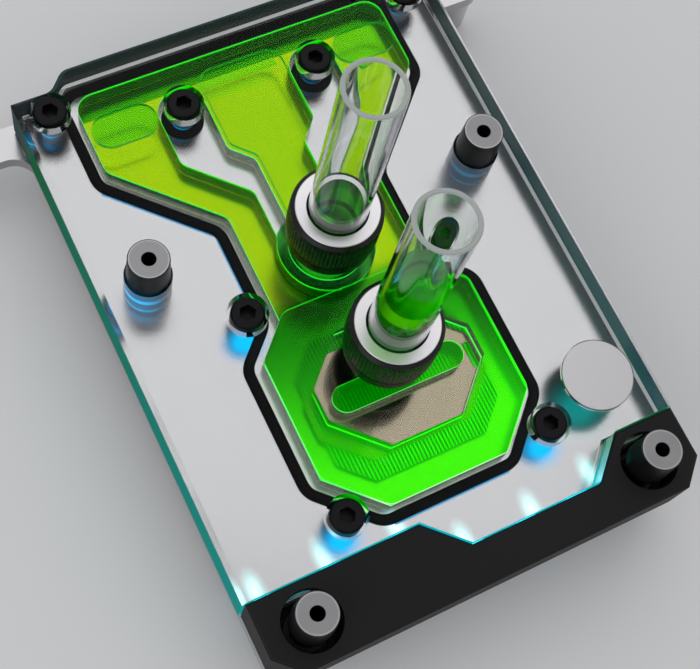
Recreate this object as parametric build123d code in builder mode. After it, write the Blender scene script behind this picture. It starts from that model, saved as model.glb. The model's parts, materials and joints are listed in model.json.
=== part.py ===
"""Monoblock water block for a mainboard: processor and voltage-regulator cooler.

A nickel coldplate with milled fins sits under a clear machined top. The top holds the
channel network and carries two tube fittings. A black cover hides a light strip along its
front edge, and four tall nuts press the block on to the board.
Millimetres. Origin at the centre of the processor's mounting pattern, on the board's
top face. +Z points away from the board, +Y towards the regulator edge.
"""
from build123d import *
import os
from math import radians, tan

os.makedirs("parts", exist_ok=True)

# Stack above the board
pad_under_z = 7.5
pad_step = 1.0
plate_thick = 5.0
seal_proud = 0.1
top_thick = 12.0
plate_under_z = pad_under_z + pad_step
plate_top_z = plate_under_z + plate_thick
top_under_z = plate_top_z + seal_proud
top_z = top_under_z + top_thick

# Fits
touch_gap = 0.05
slide_gap = 0.15
hole_gap = 0.35

# Outline of the clear top
top_half_width = 48.0
back_y = 86.8
shoulder_x = 35.5
shoulder_drop = 3.8
shoulder_round = 3.2
front_y = -29.45
tongue_x = 11.6
tongue_half = 14.65
tongue_drop = 7.8
tongue_round = 4.0
edge_break = 1.0
seal_edge_break = 0.6

# Black cover over the light strip
cover_half_width = 47.5
cover_front_y = -45.7
cover_corner = 5.0
cover_skin = 2.0
cover_edge_break = 0.5
cover_nut_hole_r = 6.0
cover_ledge = 2.0
cover_end_wall = 2.0

# Coldplate
plate_inset = 0.6
plate_corner = 5.0
pad_side = 38.0
pad_round = 2.0
foot_under_z = 3.0
foot_half_width = 33.0
foot_front_y = 62.5
foot_back_y = 77.0
foot_round = 2.0
foot_pad_thick = 1.5
foot_pad_inset = 1.5
ear_y = 80.95
ear_width = 7.3
ear_hole_x = 60.35
ear_thick = 3.0
ear_root_round = 5.0

# Fin field and jet plate
fin_half_x = 18.5
fin_half_y = 15.85
fin_centre_y = -1.75
fin_corner = 6.0
fin_pitch = 0.8
fin_thick = 0.4
fin_height = 2.0
jet_x = -0.4
jet_y = -1.8
jet_half_x = 19.1
jet_half_y = 11.85
jet_corner = 8.05
jet_thick = 0.5
jet_slot_length = 26.0
jet_slot_width = 3.6
jet_notch_x = 17.3
jet_notch_length = 5.8
jet_notch_width = 1.5

# Channels milled into the clear top from below
channel_depth = 6.0
chamber_depth = 7.0
pocket_depth = 7.5
header_y = 81.1
header_half = 35.6
header_round = 4.0
funnel_y = 63.2
side_half = 16.7
wall_round = 3.0
chamber_half = 23.5
chamber_back_y = 21.0
chamber_front_y = -23.6
chamber_back_corner = 8.1
chamber_front_corner = 10.3
island_r = 5.25
island_outer_y = 59.05
island_inner_y = 59.0
leg_outer = 9.25
leg_inner = 5.7
island_bend_round = 2.5
boss_x = 0.8
boss_y = 0.1
boss_half_x = 17.7
boss_half_y = 13.0
boss_corner = 9.5
inlet_slot_length = 29.3
inlet_slot_width = 5.8
inlet_slot_roof = 4.6
inlet_slot_x = 0.0
inlet_slot_y = -0.7
pill_inner_x = 20.8
pill_outer_x = 35.0
pill_front_y = 67.4
pill_back_y = 75.2
pocket_inset = 0.55
middle_pocket_back_y = 77.3
middle_pocket_round = 3.5

# Main seal, along its centre line
seal_width = 2.2
seal_groove_gap = 0.1
seal_groove_depth = 1.2
seal_back_y = 84.4
seal_half = 37.57
seal_funnel_y = 62.3
seal_neck_half = 18.75
seal_chamber_half = 26.3
seal_chamber_sum = 40.2
seal_front_y = -25.4
seal_round = 4.5

# Ports and fittings
port_x = -0.5
outlet_y = 31.2
inlet_y = 5.0
port_r = 5.9
port_floor = 8.0
well_r = 8.0
well_wall_r = 10.3
fitting_height = 13.4
fitting_base_r = 9.0
fitting_base_height = 2.6
fitting_seal_height = 0.8
fitting_seal_r = 8.3
fitting_stub_length = 3.9
fitting_bore_r = 4.5
fitting_neck_r = 7.6
collar_low = 3.6
collar_skirt_height = 1.2
collar_skirt_r = 9.0
collar_r = 9.5
collar_rim_r = 9.35
collar_rim_bevel = 0.7
collar_knurl_count = 24
collar_knurl_depth = 0.25
collar_knurl_height = 4.6
ring_outer_r = 8.5
ring_depth = 3.0
ring_proud = 0.1
tube_r = 6.0
tube_bore_r = 5.0
tube_seat = 3.0
tube_reach = 59.0
inlet_level = 38.0
outlet_level = 17.0

# Screws that hold the clear top down
cap_head_r = 3.5
cap_head_height = 4.0
cap_shank_r = 2.0
cap_thread_depth = 4.0
cap_socket = 3.0
cap_socket_depth = 2.2
cap_counterbore_r = 4.25
cap_head_break = 0.4
chamber_screw_x = 22.8
chamber_screw_y = 22.45
island_screw_x = 15.3
island_screw_y = 70.2
corner_screw_x = 41.3
corner_screw_y = 78.5
ring_seal_inner_r = 2.5
ring_seal_outer_r = 4.5

# Studs and tall nuts that press the block on to the board
nut_pitch = 75.0
nut_head_r = 3.95
nut_body_r = 4.2
nut_neck_r = 3.3
nut_bore_r = 1.45
nut_bore_depth = 4.0
nut_proud = 7.7
nut_body_drop = 1.5
nut_band_height = 1.2
nut_foot_height = 1.2
nut_barrel_r = 3.0
stud_r = 2.0
nut_hole_r = 4.85
barrel_gap = 0.3
washer_thick = 0.8
washer_r = 4.4

# Light strip
strip_room = 2.6
strip_thick = 0.3
strip_height = 8.0
strip_half_length = 45.0
led_width = 3.4
led_height = 3.4
led_depth = 1.4
led_end_gap = 4.5
led_left_x = -cover_half_width + led_end_gap
led_left_pitch = 14.8
led_left_count = 3
led_tongue_pitch = 12.0
led_tongue_count = 3

# Round plate in the clear top
badge_x = 36.7
badge_y = -17.6
badge_r = 7.5
badge_thick = 1.2
badge_sunk = 1.0

# Ear standoffs and cover screws
standoff_r = 3.0
standoff_neck_r = 2.05
standoff_bore_r = 1.25
cover_screw_x = 22.0
cover_screw_y = -42.4
cover_screw_r = 1.25
cover_screw_head_r = 2.2
cover_screw_length = 9.0
cover_screw_drive = 1.5

# Places worked out from the sizes above
shoulder_y = back_y - shoulder_drop
tongue_y = front_y - tongue_drop
fin_top_z = plate_top_z + fin_height
jet_top_z = fin_top_z + jet_thick
boss_under_z = jet_top_z + touch_gap
channel_roof_z = top_under_z + channel_depth
chamber_roof_z = top_under_z + chamber_depth
pocket_roof_z = top_under_z + pocket_depth
port_floor_z = top_z - port_floor
inlet_slot_roof_z = top_z - inlet_slot_roof
cap_head_z = top_z - cap_head_height
washer_top_z = plate_top_z + washer_thick
nut_top_z = top_z + nut_proud
nut_body_under_z = top_z - nut_body_drop
nut_places = [(x, y) for x in (-nut_pitch / 2, nut_pitch / 2) for y in (-nut_pitch / 2, nut_pitch / 2)]
front_nut_places = [place for place in nut_places if place[1] < 0]
back_nut_places = [place for place in nut_places if place[1] > 0]
chamber_screws = [(x, y) for x in (-chamber_screw_x, chamber_screw_x) for y in (-chamber_screw_y, chamber_screw_y)]
island_screws = [(-island_screw_x, island_screw_y), (island_screw_x, island_screw_y)]
corner_screws = [(-corner_screw_x, corner_screw_y), (corner_screw_x, corner_screw_y)]
cap_places = chamber_screws + island_screws + corner_screws
cover_screw_places = [(-cover_screw_x, cover_screw_y), (cover_screw_x, cover_screw_y)]
ear_places = [(-ear_hole_x, ear_y), (ear_hole_x, ear_y)]
outlet_place = (port_x, outlet_y)
inlet_place = (port_x, inlet_y)


def write(part, name):
    """Label a finished piece and write its file."""
    part.label = name
    export_step(part, f"parts/{name}.step")


def both_sides(right_points):
    """A closed outline from its right half, listed from the back edge to the front."""
    left_points = [(-x, y) for x, y in reversed(right_points)]
    return Polyline(*right_points, *left_points, close=True)


def cut_box(x, y, half_x, half_y, cut):
    """A closed box outline with its four corners cut at 45 degrees."""
    corner = [(half_x - cut, half_y), (half_x, half_y - cut)]
    right = corner + [(a, -b) for a, b in reversed(corner)]
    ring = right + [(-a, b) for a, b in reversed(right)]
    return Polyline(*[(x + a, y + b) for a, b in ring], close=True)


def upright(x, y):
    """A vertical plane through a turned piece's axis: its first axis is the radius."""
    return Plane(origin=(x, y, 0), x_dir=(1, 0, 0), z_dir=(0, -1, 0))


def turned(x, y, outline):
    """A piece turned about the vertical axis at x, y from its half section."""
    with BuildPart() as piece:
        with BuildSketch(upright(x, y)):
            with BuildLine():
                Polyline(*outline, close=True)
            make_face()
        revolve(axis=Axis((x, y, 0), (0, 0, 1)))
    return piece.part


# Flat outlines shared by the pieces
with BuildSketch() as top_outline:
    with BuildLine():
        Polyline(
            (-shoulder_x, back_y),
            (shoulder_x, back_y),
            (shoulder_x + shoulder_drop, shoulder_y),
            (top_half_width, shoulder_y),
            (top_half_width, front_y),
            (tongue_x + tongue_half + tongue_drop, front_y),
            (tongue_x + tongue_half, tongue_y),
            (tongue_x - tongue_half, tongue_y),
            (tongue_x - tongue_half - tongue_drop, front_y),
            (-top_half_width, front_y),
            (-top_half_width, shoulder_y),
            (-shoulder_x - shoulder_drop, shoulder_y),
            close=True,
        )
    make_face()
    inner_corners = top_outline.vertices().filter_by(lambda v: abs(v.X) < top_half_width - edge_break)
    fillet(inner_corners.filter_by(lambda v: v.Y > 0), radius=shoulder_round)
    fillet(inner_corners.filter_by(lambda v: v.Y < 0), radius=tongue_round)

with BuildSketch() as cover_outline:
    with BuildLine():
        Polyline(
            (-cover_half_width, front_y - slide_gap),
            (cover_half_width, front_y - slide_gap),
            (cover_half_width, cover_front_y + cover_corner),
            (cover_half_width - cover_corner, cover_front_y),
            (-cover_half_width + cover_corner, cover_front_y),
            (-cover_half_width, cover_front_y + cover_corner),
            close=True,
        )
    make_face()
    offset(top_outline.sketch, amount=slide_gap, kind=Kind.INTERSECTION, mode=Mode.SUBTRACT)

with BuildSketch() as strip_slot_outline:
    offset(top_outline.sketch, amount=strip_room, kind=Kind.INTERSECTION)
    add(cover_outline.sketch, mode=Mode.INTERSECT)
    with Locations((0, front_y - tongue_drop)):
        Rectangle(2 * (cover_half_width - cover_end_wall), 4 * tongue_drop, mode=Mode.INTERSECT)

with BuildSketch() as strip_outline:
    offset(top_outline.sketch, amount=strip_room - touch_gap, kind=Kind.INTERSECTION)
    offset(top_outline.sketch, amount=strip_room - touch_gap - strip_thick, kind=Kind.INTERSECTION, mode=Mode.SUBTRACT)
    with Locations((0, front_y - tongue_drop)):
        Rectangle(2 * strip_half_length, 4 * tongue_drop, mode=Mode.INTERSECT)
    add(strip_slot_outline.sketch, mode=Mode.INTERSECT)

plate_half_width = top_half_width - plate_inset
plate_back_y = back_y - plate_inset
plate_front_y = cover_front_y + plate_inset
with BuildSketch() as plate_outline:
    with BuildLine():
        both_sides([
            (shoulder_x - plate_inset / 2, plate_back_y),
            (shoulder_x + shoulder_drop - plate_inset / 2, shoulder_y - plate_inset),
            (plate_half_width, shoulder_y - plate_inset),
            (plate_half_width, plate_front_y + plate_corner),
            (plate_half_width - plate_corner, plate_front_y),
        ])
    make_face()

with BuildSketch() as plate_and_ears:
    add(plate_outline.sketch)
    with Locations((0, ear_y)):
        SlotCenterToCenter(2 * ear_hole_x, ear_width)
    ear_roots = plate_and_ears.vertices().filter_by(
        lambda v: abs(abs(v.X) - plate_half_width) < touch_gap and abs(v.Y - ear_y + ear_width / 2) < touch_gap
    )
    fillet(ear_roots, radius=ear_root_round)

chamber_points = [
    (chamber_half - chamber_back_corner, chamber_back_y),
    (chamber_half, chamber_back_y - chamber_back_corner),
    (chamber_half, chamber_front_y + chamber_front_corner),
    (chamber_half - chamber_front_corner, chamber_front_y),
]
with BuildSketch() as wet_outline:
    with BuildLine():
        both_sides([
            (header_half, header_y),
            (header_half, funnel_y),
            (side_half, funnel_y - header_half + side_half),
            (side_half, 0),
        ])
    make_face()
    fillet(wet_outline.vertices().group_by(Axis.Y)[-1], radius=header_round)
    bends = wet_outline.vertices().filter_by(lambda v: 1 < v.Y < funnel_y + touch_gap)
    fillet(bends, radius=wall_round)
    with BuildLine():
        both_sides(chamber_points)
    make_face()

with BuildSketch() as island_outline:
    for side in (-1, 1):
        inner_x = island_screw_x - island_r
        outer_x = island_screw_x + island_r
        with BuildLine():
            Polyline(
                (side * inner_x, island_screw_y),
                (side * outer_x, island_screw_y),
                (side * outer_x, island_outer_y),
                (side * leg_outer, island_outer_y - outer_x + leg_outer),
                (side * leg_outer, outlet_y),
                (side * leg_inner, outlet_y),
                (side * leg_inner, island_inner_y - inner_x + leg_inner),
                (side * inner_x, island_inner_y),
                close=True,
            )
        make_face()
        with Locations((side * island_screw_x, island_screw_y)):
            Circle(island_r)
    island_bends = island_outline.vertices().filter_by_position(Axis.Y, outlet_y + touch_gap, island_outer_y + touch_gap)
    fillet(island_bends, radius=island_bend_round)
    with Locations(outlet_place):
        Circle(well_wall_r)
        Circle(well_r, mode=Mode.SUBTRACT)
    with Locations((0, outlet_y + well_wall_r / 2)):
        Rectangle(2 * leg_inner, well_wall_r, mode=Mode.SUBTRACT)

with BuildSketch() as channel_outline:
    add(wet_outline.sketch)
    add(island_outline.sketch, mode=Mode.SUBTRACT)

with BuildSketch() as chamber_outline:
    with BuildLine():
        both_sides(chamber_points)
    make_face()
    fillet(chamber_outline.vertices(), radius=wall_round)
    add(wet_outline.sketch, mode=Mode.INTERSECT)
    add(island_outline.sketch, mode=Mode.SUBTRACT)

with BuildSketch() as deep_outline:
    pill_width = pill_back_y - pill_front_y
    for side in (-1, 1):
        with Locations((side * (pill_inner_x + pill_outer_x) / 2, (pill_front_y + pill_back_y) / 2)):
            SlotOverall(pill_outer_x - pill_inner_x, pill_width)
    middle_half = island_screw_x - island_r - pocket_inset
    leg_half = leg_inner - pocket_inset
    bend_y = island_inner_y + pocket_inset * tan(radians(22.5))
    with BuildLine():
        both_sides([
            (middle_half, middle_pocket_back_y),
            (middle_half, bend_y),
            (leg_half, bend_y - middle_half + leg_half),
            (leg_half, outlet_y),
        ])
    make_face()
    fillet(deep_outline.vertices().group_by(Axis.Y)[-1], radius=middle_pocket_round)
    leg_bends = deep_outline.vertices().filter_by_position(Axis.Y, outlet_y + pill_width, bend_y + touch_gap)
    fillet([bend for bend in leg_bends if abs(bend.X) <= middle_half], radius=island_bend_round)
    with Locations(outlet_place):
        Circle(well_r - pocket_inset)

with BuildSketch() as jet_outline:
    with BuildLine():
        cut_box(jet_x, jet_y, jet_half_x, jet_half_y, jet_corner)
    make_face()

with BuildSketch() as jet_solid_outline:
    add(jet_outline.sketch)
    with Locations((inlet_slot_x, inlet_slot_y)):
        SlotOverall(jet_slot_length, jet_slot_width, mode=Mode.SUBTRACT)
    with Locations((jet_x - jet_notch_x, jet_y), (jet_x + jet_notch_x, jet_y)):
        Rectangle(jet_notch_width, jet_notch_length, mode=Mode.SUBTRACT)

with BuildSketch() as boss_outline:
    with BuildLine():
        cut_box(boss_x, boss_y, boss_half_x, boss_half_y, boss_corner)
    make_face()

with BuildSketch() as fin_outline:
    with BuildLine():
        cut_box(0, fin_centre_y, fin_half_x, fin_half_y, fin_corner)
    make_face()

with BuildSketch() as inlet_slot_outline:
    with Locations((inlet_slot_x, inlet_slot_y)):
        SlotOverall(inlet_slot_length, inlet_slot_width)

seal_line_points = [
    (seal_half, seal_back_y),
    (seal_half, seal_funnel_y),
    (seal_neck_half, seal_funnel_y - seal_half + seal_neck_half),
    (seal_neck_half, seal_chamber_sum - seal_neck_half),
    (seal_chamber_half, seal_chamber_sum - seal_chamber_half),
    (seal_chamber_half, seal_chamber_half - seal_chamber_sum),
    (seal_chamber_sum + seal_front_y, seal_front_y),
]
with BuildSketch() as seal_centre:
    with BuildLine():
        both_sides(seal_line_points)
    make_face()
    fillet(seal_centre.vertices(), radius=seal_round)

with BuildSketch() as seal_outline:
    offset(seal_centre.sketch, amount=seal_width / 2)
    offset(seal_centre.sketch, amount=-seal_width / 2, mode=Mode.SUBTRACT)

with BuildSketch() as seal_groove_outline:
    offset(seal_centre.sketch, amount=seal_width / 2 + seal_groove_gap)
    offset(seal_centre.sketch, amount=-seal_width / 2 - seal_groove_gap, mode=Mode.SUBTRACT)


# Coldplate: one nickel-plated piece with pad, regulator foot, ears, grooves and fins
with BuildPart() as coldplate:
    with BuildSketch(Plane.XY.offset(plate_top_z - ear_thick)):
        add(plate_and_ears.sketch)
    extrude(amount=ear_thick)
    with BuildSketch(Plane.XY.offset(plate_under_z)):
        add(plate_outline.sketch)
    extrude(amount=plate_thick)
    with BuildSketch(Plane.XY.offset(pad_under_z)):
        RectangleRounded(pad_side, pad_side, pad_round)
    extrude(amount=pad_step)
    with BuildSketch(Plane.XY.offset(foot_under_z)):
        with Locations((0, (foot_front_y + foot_back_y) / 2)):
            RectangleRounded(2 * foot_half_width, foot_back_y - foot_front_y, foot_round)
    extrude(amount=plate_under_z - foot_under_z)
    with BuildSketch(Plane.XY.offset(plate_top_z)):
        fin_count = int(fin_half_x / fin_pitch)
        with GridLocations(fin_pitch, fin_pitch, 2 * fin_count + 1, 1):
            Rectangle(fin_thick, 4 * fin_half_y)
        add(fin_outline.sketch, mode=Mode.INTERSECT)
    extrude(amount=fin_height)
    with BuildSketch(Plane.XY.offset(plate_top_z)):
        add(seal_groove_outline.sketch)
    extrude(amount=-seal_groove_depth, mode=Mode.SUBTRACT)
    with BuildSketch(Plane.XY.offset(plate_top_z)):
        with Locations(*island_screws):
            Circle(ring_seal_outer_r + seal_groove_gap)
    extrude(amount=-seal_groove_depth, mode=Mode.SUBTRACT)
    with BuildSketch(Plane.XY.offset(plate_top_z)):
        with Locations(*cap_places):
            Circle(cap_shank_r + touch_gap)
    extrude(amount=-cap_thread_depth, mode=Mode.SUBTRACT)
    with BuildSketch(Plane.XY.offset(plate_under_z)):
        with Locations(*nut_places):
            Circle(nut_barrel_r + barrel_gap)
        with Locations(*ear_places):
            Circle(standoff_neck_r + touch_gap)
        with Locations(*cover_screw_places):
            Circle(cover_screw_r + touch_gap)
    extrude(amount=plate_thick, mode=Mode.SUBTRACT)
    with Locations(*[Location((x, y, plate_under_z), (180, 0, 0)) for x, y in cover_screw_places]):
        CounterSinkHole(
            radius=cover_screw_r + touch_gap,
            counter_sink_radius=cover_screw_head_r + touch_gap,
            depth=plate_thick,
        )
write(coldplate.part, "coldplate")

# Clear top: machined from one block
with BuildPart() as clear_top:
    with BuildSketch(Plane.XY.offset(top_under_z)):
        add(top_outline.sketch)
    extrude(amount=top_thick)
    chamfer(clear_top.edges().group_by(Axis.Z)[-1], length=edge_break)
    chamfer(clear_top.edges().group_by(Axis.Z)[0], length=seal_edge_break)
    with BuildSketch(Plane.XY.offset(top_under_z)):
        add(channel_outline.sketch)
    extrude(amount=channel_depth, mode=Mode.SUBTRACT)
    with BuildSketch(Plane.XY.offset(top_under_z)):
        add(chamber_outline.sketch)
    extrude(amount=chamber_depth, mode=Mode.SUBTRACT)
    with BuildSketch(Plane.XY.offset(top_under_z)):
        add(deep_outline.sketch)
    extrude(amount=pocket_depth, mode=Mode.SUBTRACT)
    with BuildSketch(Plane.XY.offset(boss_under_z)):
        add(boss_outline.sketch)
    extrude(amount=chamber_roof_z - boss_under_z)
    with BuildSketch(Plane.XY.offset(boss_under_z)):
        add(inlet_slot_outline.sketch)
    extrude(amount=inlet_slot_roof_z - boss_under_z, mode=Mode.SUBTRACT)
    with BuildSketch(Plane.XY.offset(port_floor_z)):
        with Locations(inlet_place):
            Circle(port_r)
    extrude(amount=port_floor, mode=Mode.SUBTRACT)
    with BuildSketch(Plane.XY.offset(channel_roof_z)):
        with Locations(outlet_place):
            Circle(port_r)
    extrude(amount=top_z - channel_roof_z, mode=Mode.SUBTRACT)
    with BuildSketch(Plane.XY.offset(top_under_z)):
        with Locations(*cap_places):
            Circle(cap_shank_r + hole_gap)
        with Locations(*back_nut_places):
            Circle(nut_hole_r)
    extrude(amount=top_thick, mode=Mode.SUBTRACT)
    with BuildSketch(Plane.XY.offset(cap_head_z)):
        with Locations(*cap_places):
            Circle(cap_counterbore_r)
    extrude(amount=cap_head_height, mode=Mode.SUBTRACT)
    with BuildSketch(Plane.XY.offset(top_z - badge_sunk)):
        with Locations((badge_x, badge_y)):
            Circle(badge_r + slide_gap)
    extrude(amount=badge_sunk, mode=Mode.SUBTRACT)
write(clear_top.part, "clear_top")

# Jet plate on the fins: a thin sheet with the inlet slot and two end notches
with BuildPart() as jet_plate:
    with BuildSketch(Plane.XY.offset(fin_top_z)):
        add(jet_solid_outline.sketch)
    extrude(amount=jet_thick)
write(jet_plate.part, "jet_plate")

# Seals
with BuildPart() as main_seal:
    with BuildSketch(Plane.XY.offset(plate_top_z - seal_groove_depth)):
        add(seal_outline.sketch)
    extrude(amount=seal_groove_depth + seal_proud)
write(main_seal.part, "main_seal")

for place, name in zip(island_screws, ("island_seal_left", "island_seal_right")):
    with BuildPart() as island_seal:
        with BuildSketch(Plane.XY.offset(plate_top_z - seal_groove_depth)):
            with Locations(place):
                Circle(ring_seal_outer_r)
                Circle(ring_seal_inner_r, mode=Mode.SUBTRACT)
        extrude(amount=seal_groove_depth + seal_proud)
    write(island_seal.part, name)

# Black cover, hollow from below where the light strip stands
with BuildPart() as light_cover:
    with BuildSketch(Plane.XY.offset(plate_top_z)):
        add(cover_outline.sketch)
    extrude(amount=top_z - plate_top_z)
    chamfer(light_cover.edges().group_by(Axis.Z)[-1], length=cover_edge_break)
    with BuildSketch(Plane.XY.offset(plate_top_z)):
        add(strip_slot_outline.sketch)
    extrude(amount=top_z - plate_top_z - cover_skin, mode=Mode.SUBTRACT)
    with BuildSketch(Plane.XY.offset(plate_top_z)):
        with Locations(*front_nut_places):
            Circle(washer_r + hole_gap)
    extrude(amount=cover_ledge, mode=Mode.SUBTRACT)
    with BuildSketch(Plane.XY.offset(plate_top_z + cover_ledge)):
        with Locations(*front_nut_places):
            Circle(cover_nut_hole_r)
    extrude(amount=top_z - plate_top_z - cover_ledge, mode=Mode.SUBTRACT)
    with BuildSketch(Plane.XY.offset(plate_top_z)):
        with Locations(*cover_screw_places):
            Circle(cover_screw_r + touch_gap)
    extrude(amount=cover_screw_length - plate_thick + touch_gap, mode=Mode.SUBTRACT)
write(light_cover.part, "light_cover")

# Light strip: a thin board on edge with its chips facing the clear top
with BuildPart() as light_strip:
    with BuildSketch(Plane.XY.offset(plate_top_z)):
        add(strip_outline.sketch)
    extrude(amount=strip_height)
write(light_strip.part, "light_strip")

led_shift = strip_room - touch_gap - strip_thick - led_depth / 2
led_places = [(led_left_x + k * led_left_pitch, front_y - led_shift) for k in range(led_left_count)]
led_middle = (led_tongue_count - 1) / 2
led_places += [(tongue_x + (k - led_middle) * led_tongue_pitch, tongue_y - led_shift) for k in range(led_tongue_count)]
with BuildPart() as light_chips:
    with BuildSketch(Plane.XY.offset(plate_top_z + (strip_height - led_height) / 2)):
        with Locations(*led_places):
            Rectangle(led_width, led_depth)
    extrude(amount=led_height)
write(light_chips.part, "light_chips")

# Round plate let into the clear top
badge = turned(badge_x, badge_y, [
    (0, top_z - badge_sunk),
    (badge_r, top_z - badge_sunk),
    (badge_r, top_z - badge_sunk + badge_thick),
    (0, top_z - badge_sunk + badge_thick),
])
write(badge, "round_badge")

# Screws of the clear top
for number, (x, y) in enumerate(cap_places, start=1):
    tip_z = plate_top_z - cap_thread_depth + touch_gap
    with BuildPart() as cap_screw:
        add(turned(x, y, [
            (0, tip_z),
            (cap_shank_r, tip_z),
            (cap_shank_r, cap_head_z),
            (cap_head_r, cap_head_z),
            (cap_head_r, top_z - cap_head_break),
            (cap_head_r - cap_head_break, top_z),
            (0, top_z),
        ]))
        with BuildSketch(Plane.XY.offset(top_z - cap_socket_depth)):
            with Locations((x, y)):
                RegularPolygon(cap_socket / 2, 6, major_radius=False)
        extrude(amount=cap_socket_depth, mode=Mode.SUBTRACT)
    write(cap_screw.part, f"cap_screw_{number}")

# Tall nuts for the studs of the board's backplate, each on a washer, with a barrel down to the board
for number, (x, y) in enumerate(nut_places, start=1):
    bore_step_z = nut_top_z - nut_bore_depth
    mounting_nut = turned(x, y, [
        (stud_r + touch_gap, 0),
        (nut_barrel_r, 0),
        (nut_barrel_r, washer_top_z),
        (nut_body_r, washer_top_z),
        (nut_body_r, washer_top_z + nut_foot_height),
        (nut_neck_r, washer_top_z + nut_foot_height),
        (nut_neck_r, nut_body_under_z),
        (nut_body_r, nut_body_under_z),
        (nut_body_r, top_z + nut_band_height),
        (nut_head_r, nut_top_z),
        (nut_bore_r, nut_top_z),
        (nut_bore_r, bore_step_z),
        (stud_r + touch_gap, bore_step_z),
    ])
    write(mounting_nut, f"mounting_nut_{number}")

    washer = turned(x, y, [
        (nut_barrel_r + touch_gap, plate_top_z),
        (washer_r, plate_top_z),
        (washer_r, washer_top_z),
        (nut_barrel_r + touch_gap, washer_top_z),
    ])
    write(washer, f"nut_washer_{number}")

# Tube fittings: seal, body with stub, locking collar, bright ring, and the clear tube
seat_z = top_z + tube_seat
collar_low_z = top_z + collar_low
fitting_top_z = top_z + fitting_height
ring_low_z = fitting_top_z - ring_depth
for (x, y), end in ((outlet_place, "outlet"), (inlet_place, "inlet")):
    base_low_z = top_z + fitting_seal_height
    base_top_z = base_low_z + fitting_base_height
    stub_r = port_r - touch_gap
    fitting_body = turned(x, y, [
        (fitting_bore_r, top_z - fitting_stub_length),
        (stub_r, top_z - fitting_stub_length),
        (stub_r, base_low_z),
        (fitting_base_r, base_low_z),
        (fitting_base_r, base_top_z),
        (fitting_neck_r, base_top_z),
        (fitting_neck_r, ring_low_z - touch_gap),
        (tube_r + touch_gap, ring_low_z - touch_gap),
        (tube_r + touch_gap, seat_z),
        (fitting_bore_r, seat_z),
    ])
    write(fitting_body, f"{end}_fitting_body")

    fitting_seal = turned(x, y, [
        (stub_r + touch_gap, top_z),
        (fitting_seal_r, top_z),
        (fitting_seal_r, base_low_z),
        (stub_r + touch_gap, base_low_z),
    ])
    write(fitting_seal, f"{end}_fitting_seal")

    with BuildPart() as collar:
        add(turned(x, y, [
            (fitting_neck_r + touch_gap, collar_low_z),
            (collar_skirt_r, collar_low_z),
            (collar_skirt_r, collar_low_z + collar_skirt_height),
            (collar_r, collar_low_z + collar_skirt_height),
            (collar_r, collar_low_z + collar_skirt_height + collar_knurl_height),
            (collar_rim_r, collar_low_z + collar_skirt_height + collar_knurl_height),
            (collar_rim_r, fitting_top_z - collar_rim_bevel),
            (collar_rim_r - collar_rim_bevel, fitting_top_z),
            (ring_outer_r + touch_gap, fitting_top_z),
            (ring_outer_r + touch_gap, ring_low_z),
            (fitting_neck_r + touch_gap, ring_low_z),
        ]))
        with BuildSketch(Plane.XY.offset(collar_low_z + collar_skirt_height)):
            with Locations((x, y)):
                with PolarLocations(collar_r, collar_knurl_count):
                    Rectangle(2 * collar_knurl_depth, 2 * collar_knurl_depth, rotation=45)
        extrude(amount=collar_knurl_height, mode=Mode.SUBTRACT)
    write(collar.part, f"{end}_locking_collar")

    ring = turned(x, y, [
        (tube_r + touch_gap, ring_low_z),
        (ring_outer_r, ring_low_z),
        (ring_outer_r, fitting_top_z + ring_proud),
        (tube_r + touch_gap, fitting_top_z + ring_proud),
    ])
    write(ring, f"{end}_bright_ring")

    tube = turned(x, y, [
        (tube_bore_r, seat_z),
        (tube_r, seat_z),
        (tube_r, top_z + tube_reach),
        (tube_bore_r, top_z + tube_reach),
    ])
    write(tube, f"{end}_tube")

# Coolant, as it fills the block and stands in the tubes
with BuildPart() as channel_coolant:
    with BuildSketch(Plane.XY.offset(plate_top_z)):
        add(channel_outline.sketch)
    extrude(amount=channel_roof_z - plate_top_z)
    with BuildSketch(Plane.XY.offset(plate_top_z)):
        add(chamber_outline.sketch)
    extrude(amount=chamber_roof_z - plate_top_z)
    with BuildSketch(Plane.XY.offset(plate_top_z)):
        add(deep_outline.sketch)
    extrude(amount=pocket_roof_z - plate_top_z)
    with BuildSketch(Plane.XY.offset(plate_top_z)):
        add(fin_outline.sketch)
    extrude(amount=fin_height, mode=Mode.SUBTRACT)
    with BuildSketch(Plane.XY.offset(boss_under_z)):
        add(boss_outline.sketch)
    extrude(amount=chamber_roof_z - boss_under_z, mode=Mode.SUBTRACT)
    with BuildSketch(Plane.XY.offset(fin_top_z)):
        add(jet_solid_outline.sketch)
        add(inlet_slot_outline.sketch)
    extrude(amount=boss_under_z - fin_top_z, mode=Mode.SUBTRACT)
    with BuildSketch(Plane.XY.offset(plate_top_z)):
        with Locations(outlet_place):
            Circle(port_r)
    extrude(amount=top_z - fitting_stub_length - plate_top_z)
write(channel_coolant.part, "channel_coolant")

with BuildPart() as inlet_coolant:
    with BuildSketch(Plane.XY.offset(jet_top_z)):
        add(inlet_slot_outline.sketch)
    extrude(amount=inlet_slot_roof_z - jet_top_z)
    with BuildSketch(Plane.XY.offset(port_floor_z)):
        with Locations(inlet_place):
            Circle(port_r)
    extrude(amount=top_z - fitting_stub_length - port_floor_z)
write(inlet_coolant.part, "inlet_coolant")

for (x, y), end, level in ((outlet_place, "outlet", outlet_level), (inlet_place, "inlet", inlet_level)):
    riser = turned(x, y, [
        (0, top_z - fitting_stub_length),
        (fitting_bore_r, top_z - fitting_stub_length),
        (fitting_bore_r, seat_z),
        (tube_bore_r, seat_z),
        (tube_bore_r, top_z + level),
        (0, top_z + level),
    ])
    write(riser, f"{end}_tube_coolant")

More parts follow.
